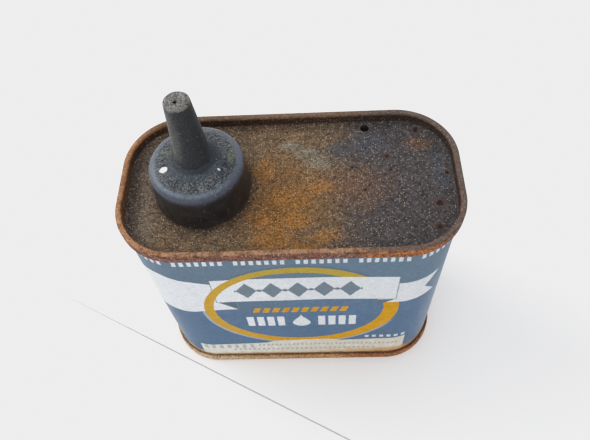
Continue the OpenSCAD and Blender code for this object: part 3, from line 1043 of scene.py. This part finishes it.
def spout_material():
    """Black moulded plastic, greyed by dust where dust lies, with painted sheen, highlights and shadow,
    a fleck of white paint and a painted glint.
    """
    m = Shade("spout_plastic")
    side = m.x - SPOUT_X
    r = m.length(side, m.y)
    h = m.z - PANEL_Z
    soft = m.cloud(3.0, 3, 0.5)
    dust = m.cloud(0.26, 2, 0.7)
    sand = m.sand(0.19)
    streak = m.cloud(1.4, 3, 0.6, (1, 1, 4))
    colour = m.mix((0.008, 0.006, 0.006), (0.017, 0.014, 0.014), m.ease(soft, 0.3, 0.7))
    # painted sheen on the brow: blue-grey on its upper part, lighter round the back as a painted
    # highlight, with a painted highlight along its upper edge
    back_highlight = m.ease(m.y * 0.9 + abs(side) * 0.5 + (soft - 0.5) * 4, -2, 6)
    brow_sheen = m.ease(h, BROW_H - 2.0, BROW_H - 0.3)
    colour = m.mix(colour, (0.036, 0.037, 0.052), brow_sheen * 0.9)
    colour = m.mix(colour, (0.072, 0.073, 0.094), brow_sheen * brow_sheen * back_highlight * 0.75)
    # painted highlight along the brow's upper edge, strongest at the front left
    lip = m.ease(abs(r - 8.75), 0.75, 0.2) * m.ease(h, BROW_H - 0.6, BROW_H)
    front_left_highlight = m.ease(m.y * 0.8 + side * 0.6 + (soft - 0.5) * 5, 3, -4)
    colour = m.mix(colour, (0.075, 0.095, 0.118), lip * m.blend(0.3, 0.85, front_left_highlight))
    # the sloping top holds dust, with a painted shadow round the nozzle's foot
    top = m.ease(r + (soft - 0.5) * 0.6, 8.6, 8.0) * m.ease(h, BROW_H - 0.5, BROW_H)
    light = m.ease(dust + (soft - 0.5) * 0.5 + sand * 0.5, 0.42, 0.62)
    green = m.near(((-23.6, 1.0, 1.3, 1.0), (-11.2, 1.0, 0.9, 2.2)), (dust - 0.5) * 2.0)
    dusty = m.coats(
        (0.016, 0.018, 0.022),
        ((0.078, 0.080, 0.078), light * m.ease(r, 5.0, 6.4)),
        ((0.115, 0.108, 0.050), green * 0.45),
        ((0.036, 0.043, 0.051), m.ease(r, 6.4, 5.2) * m.ease(m.y, 1.0, -2.5) * 0.8),
        # painted shadow round the nozzle's foot
        ((0.008, 0.008, 0.009), m.ease(r, NOZZLE_FOOT_R + 1.3, NOZZLE_FOOT_R + 0.6) * 0.9),
    )
    colour = m.mix(colour, dusty, top * 0.9)
    # the nozzle: streaky grime, lighter on its left as painted light, black on its right, darker
    # towards its foot
    nozzle = m.ease(h, NOZZLE_FOOT_H - 0.2, NOZZLE_FOOT_H + 0.5)
    nozzle = nozzle * m.ease(r, NOZZLE_FOOT_R + 0.9, NOZZLE_FOOT_R + 0.3)
    lit = m.ease(side + m.y * -0.25 + (soft - 0.5) * 1.6, 1.4, -2.6)
    streaked = m.ease(streak + (dust - 0.5), 0.1, 0.6)
    # painted light on the nozzle's left, over streaky grime
    nozzle_grime_and_light = m.mix((0.010, 0.009, 0.009), (0.066, 0.063, 0.056), lit * streaked)
    nozzle_grime_and_light = m.mix((0.012, 0.013, 0.016), nozzle_grime_and_light, m.ease(h, NOZZLE_FOOT_H + 0.2, NOZZLE_FOOT_H + 4.0))
    colour = m.mix(colour, nozzle_grime_and_light, nozzle)
    tip = m.ease(h, TIP_H - 0.7, TIP_H - 0.1)
    chalk = m.mix((0.060, 0.053, 0.043), (0.195, 0.185, 0.170), m.ease(dust, 0.40, 0.60))
    chalk = m.mix(chalk, (0.085, 0.068, 0.030), m.ease(soft, 0.52, 0.66) * 0.6)
    colour = m.mix(colour, chalk, tip * 0.9)
    skirt = m.ease(h, 2.6, 0.4)
    colour = m.mix(colour, (0.065, 0.048, 0.037), skirt * m.ease(dust, 0.45, 0.6) * 0.4)
    colour = m.times(colour, 1.0 + sand * m.blend(0.9, 2.0, m.most(top, tip)))
    specks = m.specks(0.55, 0.085, 0.20)
    colour = m.mix(colour, (0.33, 0.31, 0.28), specks * 0.6)
    fleck_d = m.length((m.x + 24.75) / 1.15, (m.y + 2.6) / 0.85) - 0.75 + (dust - 0.5) * 0.5
    # painted glint: a small white highlight on the spout's top
    glint_d = m.length(m.x + 13.5, (m.y + 3.0) / 0.7) - 0.32 + (dust - 0.5) * 0.9
    paint = m.inside(fleck_d, 0.06) * m.ease(h, 9.0, 9.2)
    # the white paint fleck, and the painted glint at less strength
    paint = m.most(paint, m.inside(glint_d, 0.06) * m.ease(h, 9.0, 9.2) * 0.7)
    colour = m.mix(colour, (0.86, 0.85, 0.80), paint)
    rough = m.blend(0.33, 0.48, m.ease(dust, 0.3, 0.7)) + m.most(top, tip) * 0.25
    height = dust * 0.035 + sand * 0.02 + paint * 0.08 + tip * dust * 0.08 + top * dust * 0.04
    m.bsdf.inputs["Specular Tint"].default_value = (0.80, 0.90, 1.0, 1.0)
    return m.finish(colour, rough, height, specular=0.42)


def plain_metal(name, light, dark, rough_low, rough_high):
    """Dull tinplate or solder with stains."""
    m = Shade(name)
    stain = m.cloud(1.8, 4, 0.65)
    grain = m.cloud(0.25, 3, 0.7)
    colour = m.mix(light, dark, m.ease(stain + (grain - 0.5) * 0.5, 0.4, 0.7))
    rough = m.blend(rough_low, rough_high, m.ease(stain, 0.35, 0.7))
    return m.finish(colour, rough, grain * 0.03, m.blend(0.95, 0.55, m.ease(stain, 0.4, 0.7)))


def plain_rubber(name, light, dark):
    """Aged rubber or sealing compound."""
    m = Shade(name)
    stain = m.cloud(1.5, 4, 0.6)
    grain = m.cloud(0.2, 3, 0.7)
    colour = m.mix(dark, light, m.ease(stain + (grain - 0.5) * 0.6, 0.35, 0.7))
    return m.finish(colour, m.blend(0.6, 0.85, grain), grain * 0.05)


def floor_material():
    """A pale tabletop with fine grit on its right."""
    m = Shade("pale_floor")
    tone = m.cloud(260, 2, 0.4)
    colour = m.mix((0.90, 0.885, 0.885), (0.88, 0.87, 0.87), tone)
    grit = m.specks(7.0, 0.22, 0.25) + m.specks(2.6, 0.11, 0.2)
    colour = m.mix(colour, (0.62, 0.61, 0.60), grit * m.ease(m.x, -20, 60) * 0.8)
    return m.finish(colour, 0.75, m.cloud(3, 3, 0.5) * 0.02, specular=0.2)


def paint(obj, material):
    obj.data.materials.clear()
    obj.data.materials.append(material)


def place(obj, body, material, node):
    """Gives a piece its material and slot, and puts it on a body instead of a CAD node."""
    paint(obj, material)
    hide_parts(node)
    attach(obj, body)


place(build_wall(), "can", wall_material(), "body_wall")
place(build_end("top_cover", 1, 3.0), "can", end_material("rusted_top", True), "top_end")
bottom = build_end("bottom_cover", -1, -7.0)
place(bottom, "can", end_material("rusted_base", False), "bottom_end")
TIN = plain_metal("dull_tinplate", (0.50, 0.48, 0.44), (0.20, 0.14, 0.09), 0.32, 0.6)
SOLDER = plain_metal("grey_solder", (0.42, 0.42, 0.41), (0.20, 0.19, 0.18), 0.38, 0.6)
RUBBER = plain_rubber("washer_rubber", (0.055, 0.045, 0.04), (0.02, 0.017, 0.015))
COMPOUND = plain_rubber("seam_compound", (0.24, 0.20, 0.15), (0.10, 0.08, 0.06))
place(build_neck(), "can", TIN, "neck")
place(build_fillet(), "can", SOLDER, "neck_solder")
place(build_washer(), "washer", RUBBER, "sealing_washer")
place(build_spout(), "spout", spout_material(), "spout")
paint(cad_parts["side_seam_solder"], SOLDER)
paint(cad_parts["top_seam_compound"], COMPOUND)
paint(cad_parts["bottom_seam_compound"], COMPOUND)

# the holes in the top
top_cover = bpy.data.objects["top_cover"]
combine(top_cover, drill(SPOUT_X, 0, HOLE_R, PANEL_Z - 2, PANEL_Z + 2, 72), "DIFFERENCE")
combine(top_cover, drill(*VENT, PANEL_Z - 2, PANEL_Z + 2), "DIFFERENCE")

# ---- stage ----

FAR = 4000
JOINT_START = Vector((-86.0, 9.5))
JOINT_WAY = Vector((0.891, -0.453))


def build_floor():
    """The tabletop, with a narrow joint that opens gradually across it."""
    top = -0.02
    vertices = []
    for along, half, depth in ((-FAR, 0, 0), (0, 0, 0), (50, 0.25, 1.2), (FAR, 0.28, 1.2)):
        for side, sink in ((-FAR, 0), (-half, 0), (0, depth), (half, 0), (FAR, 0)):
            p = JOINT_START + JOINT_WAY * along + left_of(JOINT_WAY) * side
            vertices.append((p.x, p.y, top - sink))
    return finish_mesh("floor", vertices, grid_faces(4, 5, close_columns=False))


floor = build_floor()
paint(floor, floor_material())

LENS = 36.085
SENSOR = 36.0
AIM = Vector((-2.018, 28.072, 0.0)) * MM
DISTANCE = 192.63 * MM
AZIMUTH = math.radians(4.8615)
ELEVATION = math.radians(57.996)
ROLL = math.radians(-5.7156)


def make_camera():
    """The camera looks at AIM from DISTANCE, turned by AZIMUTH, ELEVATION and ROLL."""
    flat = math.cos(ELEVATION)
    back = Vector((math.sin(AZIMUTH) * flat, -math.cos(AZIMUTH) * flat, math.sin(ELEVATION)))
    level = Vector((math.cos(AZIMUTH), math.sin(AZIMUTH), 0))
    rise = back.cross(level)
    right = math.cos(ROLL) * level + math.sin(ROLL) * rise
    up = math.cos(ROLL) * rise - math.sin(ROLL) * level
    data = bpy.data.cameras.new("camera")
    data.lens = LENS
    data.sensor_width = SENSOR
    data.clip_start = 0.01
    data.clip_end = 20
    camera = add("camera", data)
    turn = Matrix((right, up, back)).transposed()
    camera.matrix_world = Matrix.Translation(AIM + back * DISTANCE) @ turn.to_4x4()
    bpy.context.scene.camera = camera


def area_light(name, position, size, watts, colour=(1, 1, 1)):
    """A square light that faces the can."""
    data = bpy.data.lights.new(name, "AREA")
    data.energy = watts
    data.size = size
    data.color = colour
    light = add(name, data)
    light.location = Vector(position)
    aim = Vector((0, 0, CAN_H * MM / 2)) - light.location
    light.rotation_mode = "QUATERNION"
    light.rotation_quaternion = aim.to_track_quat("-Z", "Y")


def make_world():
    """An even, slightly cool studio light from all round."""
    world = bpy.data.worlds.new("studio")
    bpy.context.scene.world = world
    world.use_nodes = True
    back = world.node_tree.nodes["Background"]
    back.inputs["Color"].default_value = (0.96, 0.98, 1.0, 1)
    back.inputs["Strength"].default_value = 1.03


def set_tones():
    """Standard tones, with the brightest held at the pale grey-white of the backdrop."""
    settings = bpy.context.scene.view_settings
    settings.view_transform = "Standard"
    settings.look = "None"
    settings.use_curve_mapping = True
    mapping = settings.curve_mapping
    mapping.extend = "HORIZONTAL"
    curve = mapping.curves[3]
    curve.points[0].location = (0.0, 0.0)
    curve.points[1].location = (1.0, 0.848)
    curve.points.new(0.72, 0.70)
    mapping.update()


make_camera()
make_world()
area_light("key", (-1.0, 0.35, 0.9), 0.8, 9.0, (1.0, 0.99, 0.97))
area_light("front", (-0.1, -1.0, 0.7), 0.9, 2.0)
set_tones()
